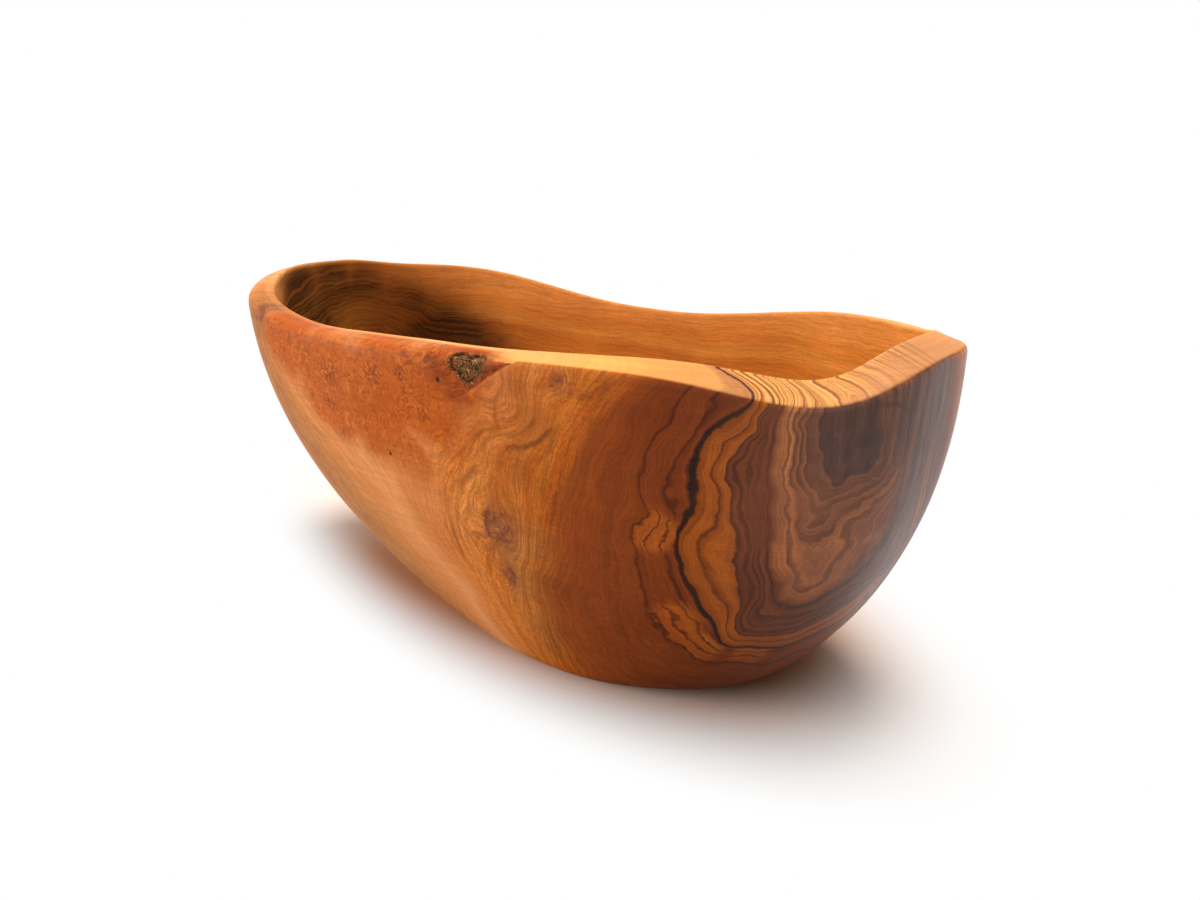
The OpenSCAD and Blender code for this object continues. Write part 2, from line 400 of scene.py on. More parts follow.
HEART = (325, 97)
AGE_SPAN, AGE_REACH = 220, 110
GROWTH_LINES = {
    8: ((320, 107), (321, 97), (321.5, 91), (324, 87), (326.5, 89), (329.5, 90), (331, 94), (331, 101)),
    13: (
        (318, 106), (319, 94), (320, 88), (321, 84), (324, 84), (326.5, 87), (330, 89), (333, 93),
        (332.5, 101),
    ),
    17: (
        (317.5, 103), (318.5, 89), (320, 81), (322, 77), (323.5, 77), (325, 81), (328.5, 86), (332, 89),
        (334.5, 94), (334, 101),
    ),
    22: (
        (317, 102), (317.5, 94), (318.5, 84), (319.5, 75), (320.5, 71), (322, 69), (324, 70), (325, 76),
        (327.5, 82), (330.5, 85), (334.5, 90), (336, 96), (336, 103),
    ),
    28: (
        (316.5, 101), (316.5, 94), (317, 86), (317.5, 78), (319, 67), (320.5, 59), (321.5, 54), (323.5, 54),
        (327, 61), (329, 71), (331, 77), (334, 82), (337, 88), (338, 95), (337.5, 102),
    ),
    38: (
        (315, 103), (314.5, 95), (315.5, 84), (316, 74), (317, 65), (319.5, 52), (321.5, 49), (324, 49),
        (330, 54), (336.5, 61), (341, 73), (343, 87), (341, 95), (340, 102),
    ),
    45: (
        (312.5, 98), (313, 90), (314.5, 74), (315.5, 65), (317, 56), (317.5, 50), (317, 44), (319, 40),
        (325.5, 42), (336.5, 51), (346.5, 54), (349.5, 71), (348.5, 81), (347.5, 90), (344.5, 101),
    ),
    52: (
        (313, 107), (311.5, 98), (310.5, 93), (311, 85), (312, 77), (313, 67), (314, 60), (314.5, 53),
        (315.5, 47), (316, 41), (317.5, 36), (320.5, 36), (328.5, 39), (343, 47), (353.5, 49), (359.5, 59),
    ),
    57: (
        (312, 103), (309.5, 94), (309.5, 87), (310, 79), (309.5, 71), (309, 66), (309.5, 62), (310.5, 58),
        (313, 48), (315, 43),
    ),
    62: (
        (312.5, 110), (310, 104), (308.5, 99), (307, 92), (307.5, 91), (308, 87), (307.5, 82), (307.5, 78),
        (307, 74), (306.5, 69), (306.5, 63), (307, 60), (308, 55), (309.5, 51), (311, 46), (312.5, 42),
        (313.5, 40), (315, 35), (315.5, 33), (320, 32), (327, 31), (335.5, 36), (349, 44),
    ),
    65: ((309, 112), (308.5, 105), (307, 97), (305.5, 94), (304.5, 89), (304, 83), (304.5, 78), (305.5, 73)),
    73: (
        (303, 74), (301.5, 71), (301, 67), (301.5, 62), (303, 53), (304.5, 42), (307, 33), (309.5, 28),
        (312, 25), (315, 23), (320, 24), (332, 27),
    ),
    80: ((302, 108), (300.5, 92), (298.5, 75), (298.5, 55), (300.5, 33), (306.5, 16)),
    92: ((301, 113), (296.5, 99), (294, 88), (292.5, 75), (290.5, 60), (287.5, 41), (288.5, 21)),
    106: ((294, 114), (290, 100), (287.5, 86), (286.5, 76), (286, 62), (284.5, 46), (282, 26)),
    118: ((288, 110), (284, 101), (281.5, 87), (280, 76), (275, 66), (270.5, 50), (269.5, 28)),
    130: ((282.5, 106), (275.5, 93), (269.5, 84), (266.5, 75), (263.5, 58), (261, 39), (260, 18)),
    140: ((255.5, 59), (255.5, 46), (257.5, 33), (260, 22)),
    152: ((232.5, 117), (236, 104), (239, 85), (245.5, 66), (249, 50), (250, 33), (253, 18)),
    160: ((228.5, 111), (229, 93), (230, 77), (232.5, 63), (234, 45), (236, 21)),
}
KERNEL_EASE, KERNEL_SLACK = 3.0, 0.6
KINKS, KINK_SEATS = ((0.13, 1.2), (0.31, 0.6)), (0, 310, 620)
CALM_START, CALM_FADE, CALM_KINK = 72, 20, 0.35
RIM_LEAN, RIM_LEAN_TURN, RIM_LEAN_SPAN = 3.8, 311, 26

# Ages on the hidden back and in the hollow, as straight slopes with height and with drop from the rim
BACK_TURNS, BACK_HEIGHTS, BACK_AGE, BACK_SLOPE = range(20, 200, 30), (8, 40, 75, 110), 86, 0.4
HOLLOW_TURNS, HOLLOW_DROPS, HOLLOW_AGE, HOLLOW_SLOPE = range(0, 360, 30), (28, 60, 95), 116, -0.3


def wrapped(turn, height, depth=0.0):
    """Place of a point in a copy of the wood that is wrapped round a plain cylinder."""
    radius = WRAP_RADIUS - depth
    return np.stack([radius * cosd(turn), radius * sind(turn), height + 0 * radius], -1)


def rim_lean(turn):
    """Degrees by which the figure leans back while it crosses the rim."""
    return RIM_LEAN * np.exp(-(((turn - RIM_LEAN_TURN) / RIM_LEAN_SPAN) ** 2))


def growth_marks():
    marks = [(t, h, 0, age) for age, line in GROWTH_LINES.items() for t, h in line]
    marks += [(t, h, 0, BACK_AGE + BACK_SLOPE * h) for t in BACK_TURNS for h in BACK_HEIGHTS]
    marks += [
        (t, RIM_HEIGHT - drop, INNER_DRIFT * drop, HOLLOW_AGE + HOLLOW_SLOPE * drop)
        for t in HOLLOW_TURNS for drop in HOLLOW_DROPS
    ]
    return np.array(marks, float)


def plain_age(places):
    """Spread of ages round a heart that stands upright and is cut off at its lower end."""
    away = places - wrapped(*HEART)
    away[..., 2] = np.minimum(away[..., 2], 0)
    return AGE_SPAN * (1 - np.exp(-np.linalg.norm(away, axis=-1) / AGE_REACH))


def kinked(places):
    """Places moved a little to and fro, less so in the sapwood, which gives the growth lines kinks."""
    share = mix(1, CALM_KINK, smooth((plain_age(places) - CALM_START) / CALM_FADE))
    moved = places.copy()
    for wave, reach in KINKS:
        for axis, seat in enumerate(KINK_SEATS):
            shifted = (places + seat) * wave
            moved[:, axis] += share * reach * np.array([noise.noise(p) for p in shifted.tolist()])
    return moved


def kernel(a, b):
    return np.sqrt(((a[:, None, :] - b[None, :, :]) ** 2).sum(-1) + KERNEL_EASE**2)


def growth_age(places):
    """Age at each place: a plain spread from the heart, bent to run along the growth lines."""
    marks = growth_marks()
    seats = wrapped(marks[:, 0], marks[:, 1], marks[:, 2])
    n = len(seats)
    system = np.zeros((n + 1, n + 1))
    system[:n, :n] = kernel(seats, seats) - KERNEL_SLACK * np.eye(n)
    system[:n, n] = system[n, :n] = 1
    target = np.append(marks[:, 3] - plain_age(seats), 0)
    weights = np.linalg.solve(system, target)
    return plain_age(places) + kernel(places, seats) @ weights[:n] + weights[n]


# Spots by field, as turn, height, depth where they have one, and radius. Skin spots reach over the rim

SKIN_SPOTS = {
    "burl": (
        (261, 99, 20), (249, 98, 18), (240, 106, 16), (269, 96, 18), (257, 82, 16),
        (247, 84, 14), (275, 106, 13), (263, 73, 10),
    ),
    "eye": ((259, 100, 5), (265, 102, 3.5), (249.5, 97, 6), (247.5, 86, 4.5), (271, 109, 5)),
    "knot": ((280, 56, 9), (279, 38, 6), (231.5, 115, 6), (292, 108, 4)),
    "pale": ((251, 43, 24), (254, 24, 22), (262, 60, 14)),
}
WALL_SPOTS = {
    "flame": (
        (279.5, 103, 7), (283, 94, 8), (280, 84, 8), (279.5, 76, 9), (276.5, 69, 9),
        (272, 61, 8), (272, 50, 7),
    ),
    "gold": ((303.3, 68, 8), (308.5, 37, 9), (313, 29, 8), (321, 28, 7)),
    "dusk": ((338, 103, 18), (343, 88, 16), (346, 72, 14), (330, 113, 12), (350, 106, 20)),
    "shade": ((288, 96, 7), (285.5, 105, 5), (286, 79, 6)),
    "tan": ((280.5, 51, 13), (284, 36, 14), (287, 52, 9), (285, 20, 12)),
    "pith": ((328, 99, 5),),
}
SWIRL_SPOTS, ARCH_SPOTS = ((285, 97, 9),), ((168, 92, 27, 30),)
# Smoky heartwood in the far end of the hollow, partly painted shade there
SMOKE_SPOTS = (
    (198, 110, 14, 30), (182, 109, 15, 32), (166, 107, 17, 30), (151, 104, 20, 25), (142, 96, 25, 25),
    (150, 80, 40, 40), (176, 86, 30, 36), (136, 90, 30, 24),
)
SCAR_SPOTS, SCAR_SHARE = ((277.5, 111, 7), (273, 106, 6), (275, 100, 5)), 0.75
PITS = ((272.4, 103, 0.8), (258, 72, 0.6))
EYE_AGE, KNOT_AGE, SWIRL_AGE, ARCH_AGE = 6, 4, 13, -16

# Dark lines in the figure, as half-widths and the turns and heights along them, by field
STREAK_TAPER = 0.3
WALL_LINES = {
    "firm": (
        (0.9, ((281, 86), (283.5, 85), (286, 86), (288.5, 89), (290.5, 94), (291.5, 99))),
        (1.2, ((279, 64), (277, 58), (276.5, 53), (277.5, 47))),
        (0.7, ((279.5, 56), (280, 52), (281.5, 51))),
        (0.8, ((278, 41), (280, 39), (281, 36))),
        (0.7, ((326.5, 110), (333, 109), (336, 107), (341, 106))),
        (1.7, ((343, 107), (345, 97), (347.5, 84), (347.5, 77), (346.5, 63))),
    ),
    "faint": (
        (0.8, ((281.5, 90), (284, 89), (286, 91), (288, 95), (289, 100))),
        (0.7, ((282, 95), (284, 94), (285.5, 96), (286.5, 100))),
        (0.9, ((286, 82), (288.5, 83), (290, 87), (292, 99))),
        (0.8, ((282.5, 103), (282, 94), (283, 87))),
        (1.3, ((298.5, 112), (295.5, 106), (293, 104))),
        (2.4, ((301, 110), (296.5, 98), (294.5, 85), (291.5, 71), (290.5, 65), (288.5, 52))),
        (0.9, ((281.5, 92), (279.5, 89), (272, 74))),
        (1.3, ((279, 78), (273, 68), (271.5, 63))),
        (1.1, ((271, 74), (267.5, 59), (266, 43), (265, 29))),
        (0.9, ((270.5, 60), (270, 52), (273, 41))),
    ),
}


def spotted(places, spots):
    """Height of the nearest of several soft round spots at each place."""
    height = np.zeros(len(places))
    for turn, level, *depth, radius in spots:
        away = np.linalg.norm(places - wrapped(turn, level, *depth), axis=-1)
        height = np.maximum(height, np.exp(-((away / radius) ** 2)))
    return height


def streaked(places, streaks):
    """Height of the nearest of several soft streaks at each place, which die away at their ends."""
    height = np.zeros(len(places))
    for half_width, line in streaks:
        ends = [wrapped(*place) for place in line]
        total = sum(np.linalg.norm(b - a) for a, b in zip(ends, ends[1:]))
        passed = 0.0
        for start, end in zip(ends, ends[1:]):
            run = end - start
            span = np.linalg.norm(run)
            share = np.clip((places - start) @ run / span**2, 0, 1)
            away = np.linalg.norm(places - start - share[:, None] * run, axis=-1)
            way = (passed + share * span) / total
            taper = smooth(np.minimum(way, 1 - way) / STREAK_TAPER)
            height = np.maximum(height, taper * 0.5 ** ((away / half_width) ** 2))
            passed += span
    return height


def wood_fields(places, inside, outer):
    """Age of the wood at each place, and the heights of the spots and lines in it."""
    spots = {name: spotted(places, seats) for name, seats in SKIN_SPOTS.items()}
    age = growth_age(kinked(places))
    age += EYE_AGE * spots["eye"] + KNOT_AGE * spots["knot"] + SWIRL_AGE * spotted(places, SWIRL_SPOTS)
    age += ARCH_AGE * spotted(places, ARCH_SPOTS) * inside
    fields = {name: height * (inside == 0) for name, height in spots.items()}
    fields |= {name: spotted(places, seats) * outer for name, seats in WALL_SPOTS.items()}
    fields |= {name: streaked(places, lines) * outer for name, lines in WALL_LINES.items()}
    return fields | {"age": age, "smoke": spotted(places, SMOKE_SPOTS) * inside}


def add_object(name, data):
    made = bpy.data.objects.new(name, data)
    bpy.context.scene.collection.objects.link(made)
    return made


def mesh_piece(name, points, faces, fields=None):
    mesh = bpy.data.meshes.new(name)
    mesh.from_pydata((np.asarray(points) * MM).tolist(), [], faces)
    mesh.validate()
    for field, values in (fields or {}).items():
        attribute = mesh.attributes.new(field, "FLOAT", "POINT")
        attribute.data.foreach_set("value", np.asarray(values, np.float32))
    mesh.polygons.foreach_set("use_smooth", [True] * len(mesh.polygons))
    return add_object(name, mesh)


def make_bowl(bark, box):
    turns = column_turns()
    rows, ends = carve(turns)
    table = np.concatenate([rows.reshape(-1, rows.shape[-1]), ends])
    points = table[:, :3]
    depth, top, inside, across = table[:, 3:].T
    turn = np.append(np.tile(turns, len(rows)), [0] * len(ends))
    places = wrapped(turn + rim_lean(turn) * across**2, points[:, 2], depth)
    outer = (inside == 0) & (across == 0)
    scoop = facet(turn, points[:, 2]) * outer

    fields = wood_fields(places, inside, outer) | {"top": top, "inside": inside}
    fields["facet"] = np.maximum(scoop, SCAR_SHARE * spotted(places, SCAR_SPOTS) * outer)
    fields["polish"] = smooth((points[:, 0] - POLISH_START) / POLISH_FADE) * (inside == 0) * (top == 0)

    normals = np.concatenate([grid_normals(rows[..., :3]).reshape(-1, 3), [(0, 0, -1), (0, 0, 1)]])
    flat = points[:, 2] < BASE_EASE
    lift = np.where(flat, 0, carving_marks(points)) - FACET_DEPTH * scoop
    points = points + normals * lift[:, None]
    near = np.linalg.norm(points - bark.middle, axis=-1) < BARK_LENGTH
    skin = (points[near], normals[near])
    points, pocket = sink_bark(points, bark)
    fields["pocket"] = pocket
    fields["ragged"] = bark.raggedness(points) * outer
    points = fit_box(points, *box)
    return mesh_piece("olive_wood_bowl", points, ring_faces(len(rows), len(turns)), fields), skin


# Ingrown bark: a craggy lump that fills its pocket

BARK_COLUMNS, BARK_RINGS = 72, 16
BARK_SHRINK = 0.97
BARK_SETBACK, BARK_CRAG, BARK_CRAG_WAVE = 0.9, 1.3, 0.55
BARK_FRACTAL = (0.6, 2.1, 5)
BARK_EDGE_DROP, BARK_TUCK, BARK_LEAST, BARK_MARGIN = 0.8, 0.7, 0.2, 0.1


def tuck_in(points, skin, depth):
    """Move points that stand out of the wood to a depth under its skin."""
    seats, outward = skin
    nearest = np.linalg.norm(points[:, None] - seats[None], axis=-1).argmin(axis=1)
    out = ((points - seats[nearest]) * outward[nearest]).sum(axis=-1)
    return points - np.maximum(out + depth, 0)[:, None] * outward[nearest]


def make_bark(bark, skin):
    lon = np.arange(BARK_COLUMNS) * 360 / BARK_COLUMNS
    lobe = bark_lobe(lon)
    top_rows, bed_rows = [], []
    for ring in range(1, BARK_RINGS + 1):
        share = ring / BARK_RINGS * BARK_SHRINK
        reach = share * BARK_MOUTH * lobe
        s, t = BARK_LENGTH / 2 * reach * cosd(lon), BARK_HEIGHT / 2 * reach * sind(lon)
        flat = [Vector((x, y, 0)) * BARK_CRAG_WAVE for x, y in zip(s, t)]
        crag = np.array([noise.fractal(v, *BARK_FRACTAL) for v in flat])
        level = bark.face(t) - BARK_SETBACK - BARK_EDGE_DROP * share**4 + BARK_CRAG * crag
        bed = np.full_like(level, bark.bed(np.array(share)) * BARK_SHRINK)
        level = np.clip(level, bed + BARK_LEAST, bark.face(t) - BARK_MARGIN)
        top_rows.append(tuck_in(bark.placed(s, t, level), skin, BARK_TUCK))
        bed_rows.append(bark.placed(s, t, bed))
    rows = top_rows + bed_rows[::-1]
    summit = bark.middle + bark.out * (bark.face(0) - BARK_SETBACK)
    root = bark.middle - bark.out * BARK_DEPTH * BARK_SHRINK
    points = np.concatenate([*rows, [summit, root]])
    faces = [face[::-1] for face in ring_faces(len(rows), BARK_COLUMNS)]
    return mesh_piece("ingrown_bark", points, faces)


def srgb(red, green, blue):
    """A colour as a screen shows it, from 0 to 255, as light."""
    shown = [v / 255 for v in (red, green, blue)]
    light = [v / 12.92 if v <= 0.04045 else ((v + 0.055) / 1.055) ** 2.4 for v in shown]
    return (*light, 1.0)


class Graph:
    """Short names for the nodes of a material or the world, with colours as a screen shows them."""

    def __init__(self, owner):
        owner.use_nodes = True
        self.owner = owner
        self.tree = owner.node_tree
        self.tree.nodes.clear()

    @cached_property
    def place(self):
        return self.node("TexCoord").outputs["Object"]

    def node(self, kind, inputs=None, **settings):
        made = self.tree.nodes.new("ShaderNode" + kind)
        for key, value in settings.items():
            setattr(made, key, value)
        for key, value in (inputs or {}).items():
            if isinstance(value, bpy.types.NodeSocket):
                self.tree.links.new(value, made.inputs[key])
            else:
                made.inputs[key].default_value = value
        return made

    def math(self, operation, *values):
        return self.node("Math", dict(enumerate(values)), operation=operation).outputs[0]

    def times(self, *values):
        return reduce(partial(self.math, "MULTIPLY"), values)

    def plus(self, *values):
        return reduce(partial(self.math, "ADD"), values)

    def swing(self, value, reach):
        """A noise, from 0 to 1, as a swing to either side of nothing."""
        return self.times(self.math("SUBTRACT", value, 0.5), reach)

    def between(self, share, a, b):
        """The number a share of the way from one to another."""
        return self.node("Mix", {0: share, 2: a, 3: b}).outputs[0]

    def fade(self, value, start, end, low=0.0, high=1.0):
        """Smooth change from low to high while a value goes from start to end."""
        inputs = {"Value": value, "From Min": start, "From Max": end, "To Min": low, "To Max": high}
        return self.node("MapRange", inputs, interpolation_type="SMOOTHSTEP").outputs[0]

    def field(self, name):
        return self.node("Attribute", attribute_name=name).outputs["Fac"]

    def noise(self, scale, detail, roughness, distortion=0.0, place=None):
        """Noise with about as many features to the metre as its scale says."""
        inputs = {
            "Vector": self.place if place is None else place, "Scale": scale, "Detail": detail,
            "Roughness": roughness, "Distortion": distortion,
        }
        return self.node("TexNoise", inputs).outputs["Fac"]

    def lines(self, along, scale, detail, roughness):
        """Uneven bands along one value."""
        inputs = {"W": along, "Scale": scale, "Detail": detail, "Roughness": roughness}
        return self.node("TexNoise", inputs, noise_dimensions="1D").outputs["Fac"]

    def stretched(self, x, y, z):
        made = self.node("VectorMath", {0: self.place, 1: (x, y, z)}, operation="MULTIPLY")
        return made.outputs["Vector"]

    def ramp(self, factor, stops):
        made = self.node("ValToRGB", {"Fac": factor})
        elements = made.color_ramp.elements
        while len(elements) < len(stops):
            elements.new(1.0)
        for element, (mark, colour) in zip(elements, stops.items()):
            element.position = mark
            element.color = srgb(*colour)
        return made.outputs["Color"]

    def banded(self, value, stops):
        """Colours along a value, by stops in the value's own units."""
        start, end = min(stops), max(stops)
        share = self.node("MapRange", {"Value": value, "From Min": start, "From Max": end}).outputs[0]
        return self.ramp(share, {(mark - start) / (end - start): colour for mark, colour in stops.items()})

    def blend(self, factor, a, b, mode="MIX"):
        made = self.node("Mix", {0: factor, 6: a, 7: b}, data_type="RGBA", blend_type=mode)
        return made.outputs[2]

    def paint(self, colour, factor, over):
        """A colour with another one laid over it."""
        return self.blend(factor, colour, srgb(*over))

    def tinted(self, colour, tint):
        return self.blend(1.0, colour, (*tint, 1), "MULTIPLY")

    def scaled(self, colour, amount):
        """A colour made darker or lighter by one number."""
        return self.node("VectorMath", {0: colour, "Scale": amount}, operation="SCALE").outputs["Vector"]

    def bump(self, height, distance, under=None):
        inputs = {"Height": height, "Distance": distance}
        if under is not None:
            inputs["Normal"] = under
        return self.node("Bump", inputs).outputs[0]

    def finish(self, **inputs):
        shader = self.node("BsdfPrincipled", inputs)
        self.node("OutputMaterial", {"Surface": shader.outputs[0]})
        return self.owner


# Colours of the wood by its age: in the heart, outside its bold vein and in the golden bands there

# The heart's dull purple-grey browns are partly the wood and partly painted sheen and painted light of the
# near end
HEART_COLOURS = {
    0: (120, 79, 68), 6.5: (114, 75, 62), 7.6: (86, 55, 45), 8.5: (148, 94, 66), 12.8: (104, 62, 45),
    13.5: (166, 104, 69), 16.8: (106, 62, 44), 17.6: (184, 113, 72), 21.7: (106, 59, 40),
    22.6: (212, 130, 79), 25.5: (214, 130, 76), 27.6: (110, 61, 39), 28.6: (214, 130, 77),
    32: (204, 120, 67), 36.5: (134, 72, 40), 37.9: (58, 32, 23), 38.9: (118, 60, 36), 41: (158, 86, 46),
    42: (88, 44, 29), 44: (132, 67, 36), 44.9: (64, 33, 24), 46: (140, 73, 39), 48.4: (84, 42, 27),
    50: (122, 60, 33), 51.6: (80, 39, 24), 52.3: (182, 94, 30), 55: (180, 92, 28), 56.8: (112, 53, 22),
    57.4: (188, 98, 31), 61.3: (168, 84, 27), 61.7: (42, 23, 18), 62.6: (46, 26, 20),
}
SAPWOOD_COLOURS = {
    62.6: (46, 26, 20), 63.0: (136, 63, 27), 64.4: (132, 61, 26), 65: (84, 38, 20), 65.8: (136, 64, 26),
    72.2: (138, 64, 26), 73: (84, 38, 20), 73.8: (136, 63, 24), 82: (138, 63, 23), 89: (158, 74, 24),
    94: (184, 94, 28), 98: (190, 95, 27), 102: (210, 118, 40), 106: (200, 104, 32), 110: (214, 124, 48),
    115: (204, 110, 40), 119: (220, 132, 58), 124: (212, 118, 46), 128: (222, 130, 62), 134: (220, 128, 64),
    140: (232, 148, 84), 146: (238, 158, 98), 152: (226, 142, 78), 156: (204, 128, 66), 160: (182, 116, 58),
    164: (196, 124, 60), 169: (184, 114, 52), 176: (188, 114, 46), 190: (204, 122, 50), 220: (198, 116, 46),
}
GOLD_COLOURS = {
    63: (100, 46, 24), 63.84: (190, 98, 34), 65.52: (196, 104, 38), 66.15: (92, 42, 22),
    66.78: (190, 98, 34), 68.88: (182, 92, 32), 69.51: (88, 40, 22), 70.14: (184, 92, 32),
    72.24: (176, 86, 30), 72.87: (80, 36, 20), 73.5: (136, 63, 24),
}
VEIN_AGE = 62
INNER_HEART, HEART_EDGE, CALM_SAPWOOD = (40, 20), (66, 60), (80, 94)

# Colours of single features, and the colours of their noise from low to high
PITH_COLOUR, STREAK_COLOUR = (62, 52, 43), (74, 50, 44)
INNER_SOFT, OUTER_SOFT = (172, 106, 72), (132, 70, 39)
DUSK_AND_SHEEN_STOPS = {0.36: (80, 52, 45), 0.48: (126, 82, 67), 0.56: (146, 94, 73), 0.66: (172, 112, 80)}
DULL_TINT, TAN_TINT, PAINTED_HOLLOW_LIGHT = (0.86, 0.8, 0.74), (0.72, 0.87, 1.45), (1.2, 1.42, 1.2)
BURL_PLAIN, EYE_COLOUR = (184, 80, 14), (100, 42, 17)
BURL_STOPS = {
    0.34: (118, 44, 10), 0.43: (160, 67, 13), 0.51: (186, 83, 15), 0.58: (204, 99, 20),
    0.67: (230, 134, 42),
}
SHADE_COLOUR = (140, 68, 22)
LINE_COLOURS = {"faint": (0.42, (118, 56, 22)), "firm": (0.62, (84, 44, 28))}
FLAME_LIGHT, FLAME_DARK = (250, 176, 96), (112, 54, 20)
KNOT_COLOUR, SMOKE_AND_SHADE_COLOUR, PALE_AND_BOUNCE_COLOUR = (112, 56, 46), (40, 19, 8), (226, 148, 90)
# Torn fibres of the facet, dark partly as painted shade in its scooped recess
TORN_AND_SHADED_STOPS = {0.36: (84, 28, 8), 0.47: (130, 46, 10), 0.56: (156, 64, 18), 0.68: (206, 112, 52)}
# Lighter copy of the wood for the rim, partly sanded wood and partly painted light from above
RIM_TINT, RIM_GAMMA = (1.34, 1.26, 0.95), 0.6
RIM_COLOUR, VEIN_COLOUR, TIP_COLOUR = (252, 172, 90), (70, 38, 26), (226, 150, 98)
RIM_STOPS = {0.36: (148, 76, 38), 0.45: (208, 128, 62), 0.53: (246, 170, 84), 0.7: (255, 188, 98)}
POCKET_COLOUR, PIT_COLOUR = (60, 30, 14), (44, 20, 10)
CRUMB_STOPS = {0.4: (48, 26, 14), 0.54: (132, 74, 34), 0.68: (226, 158, 96)}
BARK_STOPS = {
    0.38: (20, 11, 6), 0.45: (66, 40, 20), 0.52: (128, 82, 42), 0.6: (190, 136, 74), 0.69: (246, 212, 150),
}
RUST_COLOUR = (150, 80, 30)
PORE_DEPTH, FIBRE_DEPTH, TORN_DEPTH, CRUMB_DEPTH = 0.00006, 0.0001, 0.0012, 0.0009


class Wood(Graph):
    """Graph of the olive wood, with the values that its layers share."""

    def __init__(self):
        super().__init__(bpy.data.materials.new("olive_wood"))
        parts = self.node("SeparateXYZ", {0: self.place}).outputs
        self.x, self.y, self.z = parts["X"], parts["Y"], parts["Z"]
        self.inside = self.field("inside")
        self.age = self.wavering_age()
        self.heart = self.aged(*HEART_EDGE)
        self.years = self.lines(self.age, 0.55, 3.0, 0.65)
        self.fibre = self.along_grain(1.3, 45, 5, 0.65)
        self.silk = self.along_grain(4.5, 170, 3, 0.6)
        self.torn = self.noise(520, 5, 0.7, 0.8, self.stretched(0.4, 1, 1))
        self.pores = self.noise(1500, 2, 0.5, place=self.stretched(1, 1, 0.35))

    def wavering_age(self):
        """Age of the growth figure, whose lines waver and are calmer in the sapwood."""
        plain = self.field("age")
        inner = self.fade(plain, *INNER_HEART)
        waver = self.swing(self.noise(40, 2, 0.5), self.math("MULTIPLY_ADD", inner, 6.0, 3.6))
        jitter = self.swing(self.noise(200, 5, 0.68), 2.0)
        from_vein = self.math("ABSOLUTE", self.math("SUBTRACT", plain, VEIN_AGE))
        reach = self.math("MULTIPLY_ADD", inner, 3.0, self.fade(from_vein, 1, 6, 1.2, 5.0))
        wiggle = self.swing(self.noise(110, 3, 0.55), reach)
        unrest = self.times(self.plus(jitter, wiggle), self.fade(plain, *CALM_SAPWOOD, 1.0, 0.45))
        stirred = self.plus(self.times(self.field("smoke"), 9.0), self.times(self.field("knot"), 16.0))
        eddy = self.swing(self.noise(60, 3, 0.5, 0.6), stirred)
        return self.plus(plain, waver, unrest, eddy)

    def aged(self, *span):
        return self.fade(self.age, *span)

    def along_grain(self, across, along, detail, roughness):
        """Noise that is drawn out along the growth lines."""
        x, z = self.times(self.x, along), self.times(self.z, along)
        drawn_out = self.node("CombineXYZ", {"X": self.times(self.age, across), "Y": x, "Z": z})
        return self.noise(1.0, detail, roughness, place=drawn_out.outputs[0])


# Layers of the wood, of which each after the first takes the colour so far and gives the next


def growth_bands(wood):
    """Bands of the growth figure, by age."""
    outside = wood.math("GREATER_THAN", wood.age, max(HEART_COLOURS))
    return wood.blend(outside, wood.banded(wood.age, HEART_COLOURS), wood.banded(wood.age, SAPWOOD_COLOURS))


def heartwood(wood, colour):
    """Pith, dark streaks, and places where the heart's bands are weak."""
    pith = wood.times(wood.field("pith"), wood.fade(wood.noise(200, 4, 0.6), 0.3, 0.6, 0.5, 0.9))
    colour = wood.paint(colour, pith, PITH_COLOUR)
    streaks = wood.noise(300, 5, 0.7, 0.6, wood.stretched(1, 1, 0.2))
    dark = wood.times(wood.aged(10, 5), wood.fade(streaks, 0.6, 0.36, 0.0, 0.7))
    colour = wood.paint(colour, dark, STREAK_COLOUR)
    weak = wood.times(
        wood.fade(wood.noise(55, 3, 0.55), 0.38, 0.66, 0.1, 0.72),
        wood.heart,
        wood.aged(53, 50.5, 0.2),
        wood.aged(6, 10, 0.25),
    )
    soft = wood.blend(wood.aged(30, 38), srgb(*INNER_SOFT), srgb(*OUTER_SOFT))
    return wood.blend(weak, colour, soft)


def dusky_stripes_and_sheen(wood, colour):
    """Dusky upright stripes beside the heart, whose purple-grey is partly painted sheen of the near end."""
    upright = wood.noise(420, 4, 0.6, place=wood.stretched(1, 1, 0.06))
    dusk = wood.fade(wood.field("dusk"), 0.25, 0.85, 0.0, 0.82)
    # Painted sheen in part: purple-grey stripes over the near end
    return wood.blend(dusk, colour, wood.ramp(upright, DUSK_AND_SHEEN_STOPS))


def golden_bands(wood, colour):
    """Crimped golden bands outside the bold vein."""
    crimped = wood.plus(wood.age, wood.swing(wood.noise(170, 3, 0.55), 5.0))
    gold = wood.times(
        wood.aged(62.6, 63.4),
        wood.aged(74.5, 73.5),
        wood.fade(wood.field("gold"), 0.25, 0.7, 0.0, 0.9),
    )
    return wood.blend(gold, colour, wood.banded(crimped, GOLD_COLOURS))


